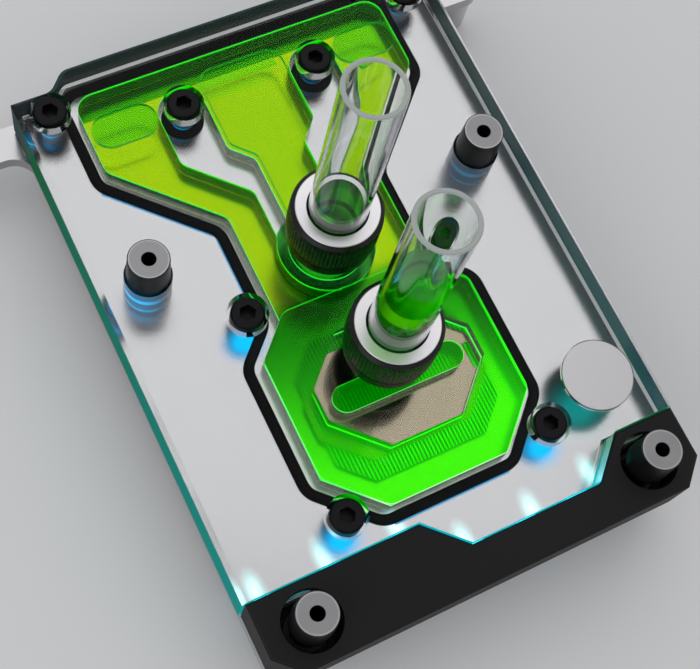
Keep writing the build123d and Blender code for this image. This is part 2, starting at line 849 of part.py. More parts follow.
# Pad between the regulator foot and the parts under it
with BuildPart() as regulator_pad:
    with BuildSketch(Plane.XY.offset(foot_under_z - foot_pad_thick)):
        with Locations((0, (foot_front_y + foot_back_y) / 2)):
            Rectangle(2 * (foot_half_width - foot_pad_inset), foot_back_y - foot_front_y - 2 * foot_pad_inset)
    extrude(amount=foot_pad_thick)
write(regulator_pad.part, "regulator_pad")

# Ear standoffs, pressed into the ears from below
for (x, y), side in zip(ear_places, ("left", "right")):
    ear_under_z = plate_top_z - ear_thick
    standoff = turned(x, y, [
        (standoff_bore_r, 0),
        (standoff_r, 0),
        (standoff_r, ear_under_z),
        (standoff_neck_r, ear_under_z),
        (standoff_neck_r, plate_top_z),
        (standoff_bore_r, plate_top_z),
    ])
    write(standoff, f"ear_standoff_{side}")

# Countersunk screws that hold the cover from below
for (x, y), side in zip(cover_screw_places, ("left", "right")):
    head_slope = cover_screw_head_r - cover_screw_r
    with BuildPart() as cover_screw:
        add(turned(x, y, [
            (0, plate_under_z),
            (cover_screw_head_r, plate_under_z),
            (cover_screw_r, plate_under_z + head_slope),
            (cover_screw_r, plate_under_z + cover_screw_length),
            (0, plate_under_z + cover_screw_length),
        ]))
        with BuildSketch(Plane.XY.offset(plate_under_z)):
            with Locations((x, y)):
                RegularPolygon(cover_screw_drive / 2, 6, major_radius=False)
        extrude(amount=head_slope, mode=Mode.SUBTRACT)
    write(cover_screw.part, f"cover_screw_{side}")
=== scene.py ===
"""Looks of the monoblock water block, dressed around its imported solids."""
import json
import math

import bmesh
import bpy
import numpy as np
from mathutils import Matrix, Vector
from mathutils.bvhtree import BVHTree


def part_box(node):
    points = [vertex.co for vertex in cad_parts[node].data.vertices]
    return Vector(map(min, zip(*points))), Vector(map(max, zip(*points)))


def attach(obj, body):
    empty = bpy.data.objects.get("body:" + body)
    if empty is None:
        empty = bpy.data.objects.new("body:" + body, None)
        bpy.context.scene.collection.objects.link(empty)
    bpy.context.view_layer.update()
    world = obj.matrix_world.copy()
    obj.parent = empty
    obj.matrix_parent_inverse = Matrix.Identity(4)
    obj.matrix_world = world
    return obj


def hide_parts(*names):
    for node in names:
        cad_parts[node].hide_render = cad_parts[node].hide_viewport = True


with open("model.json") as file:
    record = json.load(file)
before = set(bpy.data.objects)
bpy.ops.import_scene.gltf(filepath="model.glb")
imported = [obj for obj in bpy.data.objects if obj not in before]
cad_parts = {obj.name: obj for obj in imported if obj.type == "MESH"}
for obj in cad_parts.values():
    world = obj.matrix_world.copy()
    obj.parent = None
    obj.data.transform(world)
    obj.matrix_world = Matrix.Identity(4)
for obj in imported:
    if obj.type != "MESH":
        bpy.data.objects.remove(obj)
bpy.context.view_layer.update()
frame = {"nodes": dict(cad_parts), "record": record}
nodes = frame["nodes"]

MM = 0.001

# Sizes of the solids that their boxes don't tell
nut_pitch = 75.0 * MM
nut_bare_radius = 4.0 * MM
nut_neck_radius = 3.7 * MM
nut_head_extra = 0.25 * MM
nut_hole_reach = 5.2 * MM
screw_hole_reach = 4.6 * MM
screw_head_depth = 4.0 * MM
tube_wall = 1.0 * MM
fin_height = 2.0 * MM
fin_half_x = 18.5 * MM
fin_half_y = 15.9 * MM
fin_centre_y = -1.75 * MM
fin_reach = fin_half_x + fin_half_y - 6.0 * MM
slot_half_x = 15.0 * MM
slot_half_y = 4.0 * MM

# Places read from the solids
plate_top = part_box("jet_plate")[0].z - fin_height
top_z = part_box("clear_top")[1].z
front_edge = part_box("light_chips")[1].y
front_limit = front_edge + 3.0 * MM

# Levels that tell the channel walls apart
boss_foot = plate_top + 2.2 * MM
step_foot = plate_top + 5.5 * MM
pocket_head = plate_top + 7.3 * MM

# The two long pockets at the back corners: where the shade of each side starts and is full
pill_sides = ((20.0 * MM, 21.4 * MM), (35.6 * MM, 34.4 * MM))
pill_ends = ((66.8 * MM, 67.8 * MM), (75.8 * MM, 74.8 * MM))
pill_roof = (20.6 * MM, 21.0 * MM)

# Light on the plate, X and Y in millimetres: the chips' beams, the screws by the chamber, the badge
light_spots = ((-43.6, -27.0), (-28.8, -26.6), (-13.2, -27.6), (-2.0, -35.5), (13.5, -35.5), (28.0, -34.0))
screw_glows = ((-24.3, 19.35), (-24.3, -25.2), (21.3, -25.2))
badge_glows = ((32.5, -21.0),)

# Light along the outer side of the seal's groove: one oblique run, then two straight ones
groove_sum = 22.9 * MM
groove_slant = (-37.6 * MM, -18.75 * MM)
groove_side_x = -19.95 * MM
groove_side_run = (21.5 * MM, 43.5 * MM)
groove_front_y = -26.65 * MM
groove_front_run = (-13.0 * MM, 13.0 * MM)

# Direction in plan from which the holes are lit, and the gap between the coolant and its walls
lit_side = Vector((-0.75, -0.66))
coolant_gap = 0.02 * MM

black = (0.0, 0.0, 0.0)
clear_colour = (0.985, 0.995, 0.995)
glow_colour = (0.0, 0.36, 0.75)

# Photograph's frame and camera
image_width = 700
image_height = 669
focal_pixels = 1425.7
centre_pixel = (362.2, 338.8)
camera_place = Vector((-85.13, -63.18, 287.82)) * MM
camera_forward = Vector((0.2853, 0.25269, -0.92453))
camera_down = Vector((-0.36953, -0.86104, -0.34937))
sensor_width = 36.0


def round_box(node_name):
    """The box of a round solid, with its axis and its radius."""
    low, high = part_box(node_name)
    return low, high, (low + high) / 2.0, (high.x - low.x) / 2.0


# Node tools
def new_material(name):
    """A material with one Principled shader and its output."""
    material = bpy.data.materials.new(name)
    material.use_nodes = True
    tree = material.node_tree
    shader = tree.nodes["Principled BSDF"]
    return material, tree, shader


def place_group(tree, group, **values):
    """A node group placed in a material with its own values."""
    node = tree.nodes.new("ShaderNodeGroup")
    node.node_tree = group
    for name, value in values.items():
        node.inputs[name.replace("_", " ")].default_value = value
    return node


def math_node(tree, operation, *inputs, clamp=False):
    """A Math node; inputs are numbers or sockets."""
    node = tree.nodes.new("ShaderNodeMath")
    node.operation = operation
    node.use_clamp = clamp
    for k, value in enumerate(inputs):
        if isinstance(value, bpy.types.NodeSocket):
            tree.links.new(value, node.inputs[k])
        else:
            node.inputs[k].default_value = value
    return node.outputs[0]


def mix_colours(tree, factor, first, second):
    """One colour between two, by a factor socket."""
    node = tree.nodes.new("ShaderNodeMix")
    node.data_type = "RGBA"
    tree.links.new(factor, node.inputs["Factor"])
    for socket, value in ((node.inputs["A"], first), (node.inputs["B"], second)):
        if isinstance(value, bpy.types.NodeSocket):
            tree.links.new(value, socket)
        else:
            socket.default_value = (*value, 1.0)
    return node.outputs["Result"]


def ramp(tree, value, low, high):
    """A smooth step from 0 at the low value to 1 at the high value."""
    node = tree.nodes.new("ShaderNodeMapRange")
    node.interpolation_type = "SMOOTHSTEP"
    tree.links.new(value, node.inputs["Value"])
    node.inputs["From Min"].default_value = low
    node.inputs["From Max"].default_value = high
    return node.outputs["Result"]


def product(tree, *factors):
    """Masks multiplied together."""
    total = factors[0]
    for factor in factors[1:]:
        total = math_node(tree, "MULTIPLY", total, factor)
    return total


def window(tree, value, low, high, ease=0.3 * MM):
    """1 between two values and 0 outside them, with soft edges."""
    return product(tree, ramp(tree, value, low - ease, low), ramp(tree, value, high + ease, high))


def near_value(tree, value, place, full=0.1 * MM, none=0.4 * MM):
    """1 close to one value, fading to 0 beside it."""
    off = math_node(tree, "ABSOLUTE", math_node(tree, "SUBTRACT", value, place))
    return ramp(tree, off, none, full)


def hypotenuse(tree, across, along):
    """The length of the line that two distances at a right angle make."""
    squares = [math_node(tree, "POWER", side, 2.0) for side in (across, along)]
    return math_node(tree, "SQRT", math_node(tree, "ADD", *squares))


def distance(tree, x, y, place_x, place_y):
    """The distance in plan from a place."""
    return hypotenuse(tree, math_node(tree, "SUBTRACT", x, place_x), math_node(tree, "SUBTRACT", y, place_y))


def object_point(tree):
    """The object coordinates, in metres."""
    return tree.nodes.new("ShaderNodeTexCoord").outputs["Object"]


def object_axes(tree):
    """The X, Y and Z of the object coordinates."""
    split = tree.nodes.new("ShaderNodeSeparateXYZ")
    tree.links.new(object_point(tree), split.inputs["Vector"])
    return split.outputs["X"], split.outputs["Y"], split.outputs["Z"]


def painted(tree, name):
    """A mask painted on the piece's own mesh."""
    node = tree.nodes.new("ShaderNodeAttribute")
    node.attribute_name = name
    return node.outputs["Fac"]


def new_group(name, inputs, outputs):
    """An empty node group with named inputs, numbers or colours, and named outputs."""
    group = bpy.data.node_groups.new(name, "ShaderNodeTree")
    for label, value in inputs.items():
        kind = "NodeSocketColor" if isinstance(value, tuple) else "NodeSocketFloat"
        socket = group.interface.new_socket(label, in_out="INPUT", socket_type=kind)
        socket.default_value = (*value, 1.0) if isinstance(value, tuple) else value
    for label, kind in outputs.items():
        group.interface.new_socket(label, in_out="OUTPUT", socket_type=kind)
    given = group.nodes.new("NodeGroupInput")
    result = group.nodes.new("NodeGroupOutput")
    return group, given.outputs, result.inputs


def noise(tree, scale, detail=2.0):
    """A noise over the object coordinates."""
    node = tree.nodes.new("ShaderNodeTexNoise")
    node.inputs["Scale"].default_value = scale
    node.inputs["Detail"].default_value = detail
    tree.links.new(object_point(tree), node.inputs["Vector"])
    return node.outputs["Fac"]


def bump(tree, height, strength, depth):
    """A normal from a height, with its strength from a socket."""
    node = tree.nodes.new("ShaderNodeBump")
    node.inputs["Distance"].default_value = depth
    tree.links.new(strength, node.inputs["Strength"])
    tree.links.new(height, node.inputs["Height"])
    return node.outputs["Normal"]


def make_satin_group():
    """Fine mottling of a satin surface: varied colour, roughness and a slight bump."""
    group, given, result = new_group(
        "SatinSurface",
        {
            "Colour": (0.8, 0.8, 0.8), "Scale": 900.0, "Shade": 0.08,
            "Roughness": 0.3, "Spread": 0.06, "Height": 0.02,
        },
        {"Colour": "NodeSocketColor", "Roughness": "NodeSocketFloat", "Normal": "NodeSocketVector"},
    )
    link = group.links.new
    fine = noise(group, 900.0, detail=4.0)
    link(given["Scale"], fine.node.inputs["Scale"])
    broad = math_node(group, "SUBTRACT", noise(group, 35.0, detail=3.0), 0.5)
    gain = math_node(group, "MULTIPLY_ADD", broad, given["Shade"], 1.0)
    tinted = group.nodes.new("ShaderNodeVectorMath")
    tinted.operation = "SCALE"
    link(given["Colour"], tinted.inputs[0])
    link(gain, tinted.inputs["Scale"])
    link(tinted.outputs["Vector"], result["Colour"])
    centred = math_node(group, "SUBTRACT", fine, 0.5)
    rough = math_node(group, "MULTIPLY_ADD", centred, given["Spread"], given["Roughness"], clamp=True)
    link(rough, result["Roughness"])
    link(bump(group, fine, given["Height"], 0.05 * MM), result["Normal"])
    return group


def make_turning_group():
    """Fine rings left by turning, about an axis at a place that repeats on all four corners."""
    group, given, result = new_group(
        "TurningRings",
        {"Centre X": 0.0, "Centre Y": 0.0, "Pitch": 0.0003, "Height": 0.2},
        {"Normal": "NodeSocketVector", "Radius": "NodeSocketFloat"},
    )
    x, y, _ = object_axes(group)
    x, y = (math_node(group, "ABSOLUTE", value) for value in (x, y))
    radius = distance(group, x, y, given["Centre X"], given["Centre Y"])
    turns = math_node(group, "DIVIDE", math_node(group, "MULTIPLY", radius, math.tau), given["Pitch"])
    wave = math_node(group, "SINE", turns)
    group.links.new(bump(group, wave, given["Height"], 0.02 * MM), result["Normal"])
    group.links.new(radius, result["Radius"])
    return group


def make_spot_group():
    """A soft spot of light on a surface, round a place, as a factor from 0 to 1."""
    group, given, result = new_group(
        "LightSpot",
        {"Place X": 0.0, "Place Y": 0.0, "Half Width": 0.003, "Length": 0.006},
        {"Factor": "NodeSocketFloat"},
    )
    x, y, _ = object_axes(group)
    off_x = math_node(group, "SUBTRACT", x, given["Place X"])
    across = math_node(group, "DIVIDE", off_x, given["Half Width"])
    off_y = math_node(group, "SUBTRACT", y, given["Place Y"])
    along = math_node(group, "DIVIDE", off_y, given["Length"])
    fade = math_node(group, "SUBTRACT", 1.0, hypotenuse(group, across, along), clamp=True)
    group.links.new(math_node(group, "POWER", fade, 2.0), result["Factor"])
    return group


satin_group = make_satin_group()
turning_group = make_turning_group()
spot_group = make_spot_group()


def spots(tree, places, half_width, length, gain=1.0):
    """Soft spots of light at places in millimetres, as one mask."""
    total = None
    for place_x, place_y in places:
        spot = place_group(
            tree, spot_group, Place_X=place_x * MM, Place_Y=place_y * MM, Half_Width=half_width, Length=length
        ).outputs["Factor"]
        total = spot if total is None else math_node(tree, "MAXIMUM", total, spot)
    return math_node(tree, "MULTIPLY", total, gain, clamp=True)


# Materials
def satin_metal(
    name, colour, roughness, scale=900.0, shade=0.06, spread=0.06, height=0.02, metallic=1.0, gloss=0.5
):
    """A satin metal or painted surface."""
    material, tree, shader = new_material(name)
    surface = place_group(
        tree, satin_group, Colour=(*colour, 1.0), Scale=scale, Shade=shade,
        Roughness=roughness, Spread=spread, Height=height,
    )
    tree.links.new(surface.outputs["Colour"], shader.inputs["Base Color"])
    tree.links.new(surface.outputs["Roughness"], shader.inputs["Roughness"])
    tree.links.new(surface.outputs["Normal"], shader.inputs["Normal"])
    shader.inputs["Metallic"].default_value = metallic
    shader.inputs["Specular IOR Level"].default_value = gloss
    return material


def satin_black(name, colour, roughness, gloss, scale, shade=0.2, height=0.02):
    """A dark surface that isn't bare metal."""
    return satin_metal(name, colour, roughness, scale, shade, height=height, metallic=0.0, gloss=gloss)


def clear_plastic(name, colour, ior, roughness=0.0, mirror=0.15):
    """Clear cast plastic with faint handling marks in its gloss; mirror scales what it mirrors head on."""
    material, tree, shader = new_material(name)
    shader.inputs["Specular Tint"].default_value = (mirror, mirror, mirror, 1.0)
    shader.inputs["Base Color"].default_value = (*colour, 1.0)
    shader.inputs["Transmission Weight"].default_value = 1.0
    shader.inputs["IOR"].default_value = ior
    gloss = math_node(tree, "MULTIPLY_ADD", noise(tree, 60.0, detail=6.0), 0.03, roughness - 0.01, clamp=True)
    tree.links.new(gloss, shader.inputs["Roughness"])
    return material


def lit_plastic(name, colour, lit_colour, dark_colour=black, strength=1.0, transmission=0.1, rims=False):
    """Machined plastic whose milled face takes a painted glow where it is painted so, with rims more at its
    ends.
    """
    material = clear_plastic(name, colour, 1.49, roughness=0.2)
    tree = material.node_tree
    shader = tree.nodes["Principled BSDF"]
    shader.inputs["Transmission Weight"].default_value = transmission
    shader.inputs["Specular IOR Level"].default_value = 0.1
    level = painted(tree, "glow")
    if rims:
        _, _, z = object_axes(tree)
        foot = ramp(tree, z, plate_top + 1.4 * MM, plate_top + 0.4 * MM)
        seat = window(tree, z, top_z - 6.0 * MM, top_z - 4.6 * MM, ease=1.0 * MM)
        ends = math_node(tree, "ADD", foot, seat)
        level = product(tree, level, math_node(tree, "MULTIPLY_ADD", ends, 0.75, 0.25))
    tree.links.new(mix_colours(tree, level, dark_colour, lit_colour), shader.inputs["Emission Color"])
    shader.inputs["Emission Strength"].default_value = strength
    return material


def outer_faces(name):
    """The outer faces of the clear top, coloured as painted light and reflection: green on the left, slate on
    the right, dark at the back, with a painted glow where they are marked.
    """
    left, right, back = (0.004, 0.13, 0.02), (0.05, 0.105, 0.11), (0.035, 0.065, 0.075)
    material = lit_plastic(name, left, (0.0, 0.36, 0.48))
    tree = material.node_tree
    x, y, _ = object_axes(tree)
    side = mix_colours(tree, ramp(tree, x, -10.0 * MM, 10.0 * MM), left, right)
    body = mix_colours(tree, ramp(tree, y, 70.0 * MM, 80.0 * MM), side, back)
    shader = tree.nodes["Principled BSDF"]
    tree.links.new(body, shader.inputs["Base Color"])
    shader.inputs["Specular IOR Level"].default_value = 0.0
    return material


def channel_wall(name):
    """A machined wall beside the coolant: dark green, with a painted highlight along its painted edge,
    brighter towards the front, and a faint painted glow elsewhere, stronger on the pocket steps.
    """
    material, tree, shader = new_material(name)
    shader.inputs["Transmission Weight"].default_value = 0.3
    shader.inputs["IOR"].default_value = 1.12
    marks = noise(tree, 700.0)
    tree.links.new(math_node(tree, "MULTIPLY_ADD", marks, 0.2, 0.15), shader.inputs["Roughness"])
    inside = mix_colours(tree, marks, (0.0, 0.09, 0.0), (0.002, 0.13, 0.004))
    backfacing = tree.nodes.new("ShaderNodeNewGeometry").outputs["Backfacing"]
    tree.links.new(mix_colours(tree, backfacing, inside, (0.05, 0.09, 0.04)), shader.inputs["Base Color"])
    _, y, _ = object_axes(tree)
    # Painted highlight colour: brighter towards the front, paler still by the light strip
    painted_light = mix_colours(tree, ramp(tree, y, 30.0 * MM, -15.0 * MM), (0.01, 0.8, 0.06), (0.06, 1.0, 0.1))
    painted_light = mix_colours(tree, ramp(tree, y, -18.0 * MM, -23.0 * MM), painted_light, (0.5, 1.0, 0.45))
    # Painted glow on the wall, stronger on the pocket steps, under the painted highlight line
    shade = mix_colours(tree, painted(tree, "pocket"), (0.0, 0.02, 0.002), (0.0, 0.2, 0.015))
    line = ramp(tree, painted(tree, "glow"), 0.78, 0.92)
    tree.links.new(mix_colours(tree, line, shade, painted_light), shader.inputs["Emission Color"])
    shader.inputs["Emission Strength"].default_value = 1.0
    return material


def channel_colour(tree, chamber, front):
    """The coolant's colour, partly painted light: lime in the channels, greener in the pockets and at the
    back, where a painted reflection of the back wall lies near the floor, and in the chamber greener and
    brighter towards the front, where the light strip's light falls.
    """
    x, y, z = object_axes(tree)
    across = math_node(tree, "ABSOLUTE", x)
    inward = math_node(tree, "SUBTRACT", 1.0, tree.nodes.new("ShaderNodeNewGeometry").outputs["Backfacing"])
    sides = [ramp(tree, across, *side) for side in pill_sides]
    ends = [ramp(tree, y, *end) for end in pill_ends]
    pill = product(tree, *sides, *ends, ramp(tree, z, *pill_roof), inward)
    # Painted light in the chamber: greener and brighter towards the light strip at the front
    green = mix_colours(tree, front, (0.08, 0.58, 0.02), (0.40, 1.0, 0.02))
    lime = mix_colours(tree, pill, (0.97, 0.97, 0.03), (0.13, 0.74, 0.03))
    bottom = ramp(tree, z, plate_top + 1.5 * MM, plate_top + 0.5 * MM)
    # Painted reflection of the header's back wall in the nickel, near the floor
    header_back = product(tree, ramp(tree, y, 77.0 * MM, 77.6 * MM), bottom)
    lime = mix_colours(tree, header_back, lime, (0.1, 0.5, 0.03))
    pocket_back = product(tree, window(tree, y, 75.6 * MM, 77.3 * MM), ramp(tree, across, 9.7 * MM, 9.3 * MM))
    lime = mix_colours(tree, pocket_back, lime, (0.5, 0.9, 0.02))
    return mix_colours(tree, chamber, lime, green)


def coolant(name, ior=1.0, tint=None, glow=1.0):
    """Green coolant with a painted glow, brightest by the lights; in the tubes it has one cloudy tint."""
    material, tree, shader = new_material(name)
    shader.inputs["Transmission Weight"].default_value = 1.0
    shader.inputs["Roughness"].default_value = 0.0
    shader.inputs["IOR"].default_value = ior
    _, y, _ = object_axes(tree)
    chamber = ramp(tree, y, 25.0 * MM, 20.0 * MM)
    front = ramp(tree, y, 24.0 * MM, -16.0 * MM)
    if tint:
        body = mix_colours(tree, noise(tree, 120.0), tint, tuple(0.8 * part for part in tint))
    else:
        body = channel_colour(tree, chamber, front)
    tree.links.new(body, shader.inputs["Base Color"])
    # Painted light: the coolant glows in the chamber, most towards the light strip at the front
    lit = product(tree, chamber, math_node(tree, "POWER", front, 1.5))
    painted_light = mix_colours(tree, lit, (0.0, 0.008, 0.0), (0.0, 0.13, 0.0))
    tree.links.new(painted_light, shader.inputs["Emission Color"])
    shader.inputs["Emission Strength"].default_value = glow
    absorb = tree.nodes.new("ShaderNodeVolumeAbsorption")
    absorb.inputs["Color"].default_value = (0.91, 0.997, 0.0, 1.0)
    absorb.inputs["Density"].default_value = 460.0
    tree.links.new(absorb.outputs["Volume"], tree.nodes["Material Output"].inputs["Volume"])
    return material


def fin_mask(tree, x, y):
    """1 on the octagonal field of fins."""
    edge = 0.05 * MM
    across = math_node(tree, "ABSOLUTE", x)
    along = math_node(tree, "ABSOLUTE", math_node(tree, "SUBTRACT", y, fin_centre_y))
    reach = math_node(tree, "ADD", across, along)
    limits = ((across, fin_half_x), (along, fin_half_y), (reach, fin_reach))
    return product(tree, *(ramp(tree, value, limit + edge, limit) for value, limit in limits))


def groove_light(tree, x, y):
    """1 on the lit lines along the seal's groove."""
    on_slant = near_value(tree, math_node(tree, "ADD", x, y), groove_sum, none=0.5 * MM)
    slant = product(tree, on_slant, window(tree, x, *groove_slant))
    side = product(tree, near_value(tree, x, groove_side_x), window(tree, y, *groove_side_run))
    front = product(tree, near_value(tree, y, groove_front_y), window(tree, x, *groove_front_run))
    return math_node(tree, "MAXIMUM", math_node(tree, "MAXIMUM", slant, side), front)


def lit_nickel(name):
    """Satin nickel with painted light and shade: painted shade among the fins with lighter fin tops, a
    painted shade ring round the outlet port, painted shadow round the front nuts, and a painted glow from the
    soft beams that the light chips throw on it, the lit screw holes, the seal's groove and the badge.
    """
    material = satin_metal(
        name, (0.445, 0.44, 0.45), 0.19, scale=1500.0, shade=0.04, spread=0.04, height=0.006
    )
    tree = material.node_tree
    shader = tree.nodes["Principled BSDF"]
    x, y, z = object_axes(tree)
    plain = shader.inputs["Base Color"].links[0].from_socket
    # Painted shade among the fins: dark green low between them, lighter green on their tops
    fin_tops = ramp(tree, z, plate_top + 1.2 * MM, plate_top + 1.6 * MM)
    fin_shade = mix_colours(tree, fin_tops, (0.002, 0.05, 0.02), (0.14, 0.5, 0.25))
    body = mix_colours(tree, fin_mask(tree, x, y), plain, fin_shade)
    _, _, port, _ = round_box("outlet_tube")
    # Painted shade: a dark green ring round the outlet port
    ring = window(tree, distance(tree, x, y, port.x, port.y), 8.0 * MM, 10.3 * MM)
    body = mix_colours(tree, ring, body, (0.02, 0.16, 0.02))
    # Painted shadow round the front nuts
    front_nut = distance(tree, math_node(tree, "ABSOLUTE", x), y, nut_pitch / 2, -nut_pitch / 2)
    body = mix_colours(tree, ramp(tree, front_nut, 7.0 * MM, 6.6 * MM), body, (0.004, 0.004, 0.004))
    # The base is darkened under the painted glow of the groove and the screws, so that the glow shows clear
    groove = groove_light(tree, x, y)
    screws = spots(tree, screw_glows, 6.5 * MM, 5.5 * MM, gain=1.7)
    lit_mask = math_node(tree, "MAXIMUM", groove, screws)
    tree.links.new(mix_colours(tree, lit_mask, body, (0.01, 0.03, 0.04)), shader.inputs["Base Color"])
    # Painted light on the plate: the chips' beams, the groove, the screws and the badge glow
    beam = mix_colours(tree, spots(tree, light_spots, 3.0 * MM, 6.0 * MM), black, (0.35, 0.95, 0.95))
    beam = mix_colours(tree, groove, beam, (0.0, 0.16, 0.35))
    beam = mix_colours(tree, screws, beam, (0.0, 0.42, 0.85))
    badge = spots(tree, badge_glows, 11.0 * MM, 9.0 * MM, gain=1.6)
    beam = mix_colours(tree, badge, beam, (0.0, 0.17, 0.16))
    tree.links.new(beam, shader.inputs["Emission Color"])
    shader.inputs["Emission Strength"].default_value = 1.4
    return material


def bright_topped_nut(name):
    """Black side, bare turned metal on the flat top with a painted highlight near its edge and a dark rim
    round it.
    """
    material, tree, shader = new_material(name)
    facing = tree.nodes.new("ShaderNodeSeparateXYZ")
    tree.links.new(tree.nodes.new("ShaderNodeNewGeometry").outputs["Normal"], facing.inputs["Vector"])
    _, _, z = object_axes(tree)
    level = math_node(tree, "GREATER_THAN", z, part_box("mounting_nut_1")[1].z - 0.3 * MM)
    upward = math_node(tree, "GREATER_THAN", facing.outputs["Z"], 0.6)
    rings = place_group(
        tree, turning_group, Centre_X=nut_pitch / 2, Centre_Y=nut_pitch / 2, Pitch=0.22 * MM, Height=0.3
    )
    inside = math_node(tree, "LESS_THAN", rings.outputs["Radius"], nut_bare_radius)
    bare = product(tree, level, upward, inside)
    surface = place_group(
        tree, satin_group, Colour=(0.22, 0.22, 0.225, 1.0), Scale=2500.0, Shade=0.25,
        Roughness=0.36, Spread=0.1,
    )
    # Painted highlight where the top's outer edge catches the light
    rim_highlight = ramp(tree, rings.outputs["Radius"], 3.6 * MM, 3.9 * MM)
    top = mix_colours(tree, rim_highlight, surface.outputs["Colour"], (0.33, 0.33, 0.33))
    colour = mix_colours(tree, bare, (0.006, 0.006, 0.007), top)
    tree.links.new(colour, shader.inputs["Base Color"])
    tree.links.new(rings.outputs["Normal"], shader.inputs["Normal"])
    tree.links.new(surface.outputs["Roughness"], shader.inputs["Roughness"])
    tree.links.new(bare, shader.inputs["Metallic"])
    shader.inputs["Specular IOR Level"].default_value = 0.3
    return material


def light_chip(name):
    """A lit chip: a bright cyan face."""
    material, tree, shader = new_material(name)
    shader.inputs["Base Color"].default_value = (0.6, 0.8, 0.8, 1.0)
    shader.inputs["Emission Strength"].default_value = 6.0
    lit = mix_colours(tree, noise(tree, 900.0), (0.0, 0.55, 0.85), (0.05, 0.75, 1.0))
    tree.links.new(lit, shader.inputs["Emission Color"])
    return material


made = (
    clear_plastic("clear_acrylic", clear_colour, 1.49),
    clear_plastic("wet_acrylic", clear_colour, 1.12),
    clear_plastic("clear_tube", (0.97, 0.985, 0.98), 1.49, mirror=0.4),
    channel_wall("channel_wall"),
    # Painted glow: the hole walls and the front edge glow where the light strip's light falls on them
    lit_plastic("lit_hole", (0.0, 0.02, 0.035), glow_colour, strength=1.3, rims=True),
    lit_plastic("front_edge", (0.01, 0.09, 0.08), (0.0, 0.5, 0.62), dark_colour=(0.0, 0.12, 0.035)),
    lit_plastic("tube_cut", (0.62, 0.68, 0.66), glow_colour, strength=0.0, transmission=0.3),
    outer_faces("outer_edge"),
    coolant("coolant"),
    coolant("tube_coolant", ior=1.33, tint=(0.22, 0.72, 0.1), glow=0.4),
    lit_nickel("nickel"),
    bright_topped_nut("nut_black"),
    light_chip("light_chip"),
    satin_metal("stainless", (0.27, 0.235, 0.165), 0.14, scale=1800.0, shade=0.12, spread=0.04),
    satin_metal("bright_steel", (0.6, 0.6, 0.61), 0.25),
    satin_metal("silver_ring", (0.62, 0.61, 0.625), 0.36, scale=2600.0, shade=0.06, height=0.06),
    satin_metal("badge_metal", (0.42, 0.415, 0.43), 0.34, scale=2000.0, shade=0.05),
    satin_black("black_steel", (0.005, 0.0045, 0.006), 0.34, gloss=0.1, scale=2500.0, shade=0.3),
    satin_black("black_metal", (0.005, 0.006, 0.005), 0.28, gloss=0.22, scale=1500.0),
    # collar_black: painted light, greener and lighter, for one flank of each knurl ridge
    satin_black("collar_black", (0.010, 0.042, 0.012), 0.28, gloss=0.22, scale=1500.0),
    satin_black("seal_rubber", (0.021, 0.029, 0.052), 0.5, gloss=0.1, scale=1200.0, shade=0.3),
    satin_black("cover_black", (0.0125, 0.0122, 0.013), 0.55, gloss=0.12, scale=2600.0, height=0.12),
    satin_metal("strip_board", (0.75, 0.77, 0.76), 0.5, metallic=0.0),
    satin_metal("thermal_pad", (0.3, 0.4, 0.5), 0.7, scale=1200.0, shade=0.2, metallic=0.0),
    satin_metal("washer_plastic", (0.015, 0.015, 0.016), 0.45, metallic=0.0),
)
# Blender adds a number to a name that the loaded solids already use
materials = {material.name.split(".")[0]: material for material in made}


def dress(obj, *names):
    """Give a piece its materials."""
    if obj.data.materials:
        obj.data.materials.clear()
    for name in names:
        obj.data.materials.append(materials[name])


slot_of = {part["node"]: part["material_slot"] for part in frame["record"]["subparts"]}
for node_name, node in nodes.items():
    dress(node, slot_of[node_name])


# Pieces made from the solids
def solid_copy(node_name):
    """A bmesh of a node's solid with its loose triangles joined."""
    mesh = bmesh.new()
    mesh.from_mesh(nodes[node_name].data)
    bmesh.ops.remove_doubles(mesh, verts=mesh.verts, dist=0.002 * MM)
    return mesh


def flat_patches(mesh, tolerance=0.5):
    """Groups of faces that lie in one plane, as a patch number for each face."""
    limit = math.radians(tolerance)
    patch_of = {}
    groups = []
    for seed in mesh.faces:
        if seed in patch_of:
            continue
        patch_of[seed] = len(groups)
        group = [seed]
        for face in group:
            for edge in face.edges:
                for other in edge.link_faces:
                    if other not in patch_of and seed.normal.angle(other.normal, 3.0) < limit:
                        patch_of[other] = len(groups)
                        group.append(other)
        groups.append(group)
    return patch_of, groups


def shade_walls(mesh, smooth_angle=30.0, narrow_ratio=1.8):
    """Smooth the narrow facets of round walls and leave flat walls flat."""
    bmesh.ops.dissolve_degenerate(mesh, dist=0.001 * MM, edges=mesh.edges)
    mesh.normal_update()
    patch_of, groups = flat_patches(mesh)
    limit = math.radians(smooth_angle)
    soft = [{} for _ in groups]
    for edge in mesh.edges:
        if len(edge.link_faces) != 2:
            continue
        first, second = (patch_of[face] for face in edge.link_faces)
        if first != second and edge.calc_face_angle(4.0) < limit:
            for own, other in ((first, second), (second, first)):
                soft[own][other] = soft[own].get(other, 0.0) + edge.calc_length()
    widths = []
    for group, beside in zip(groups, soft):
        area = sum(face.calc_area() for face in group)
        widths.append(area / max(beside.values()) if beside else 1.0)
    for number, (group, beside) in enumerate(zip(groups, soft)):
        narrow = bool(beside) and widths[number] < narrow_ratio * min(widths[other] for other in beside)
        for face in group:
            face.smooth = narrow


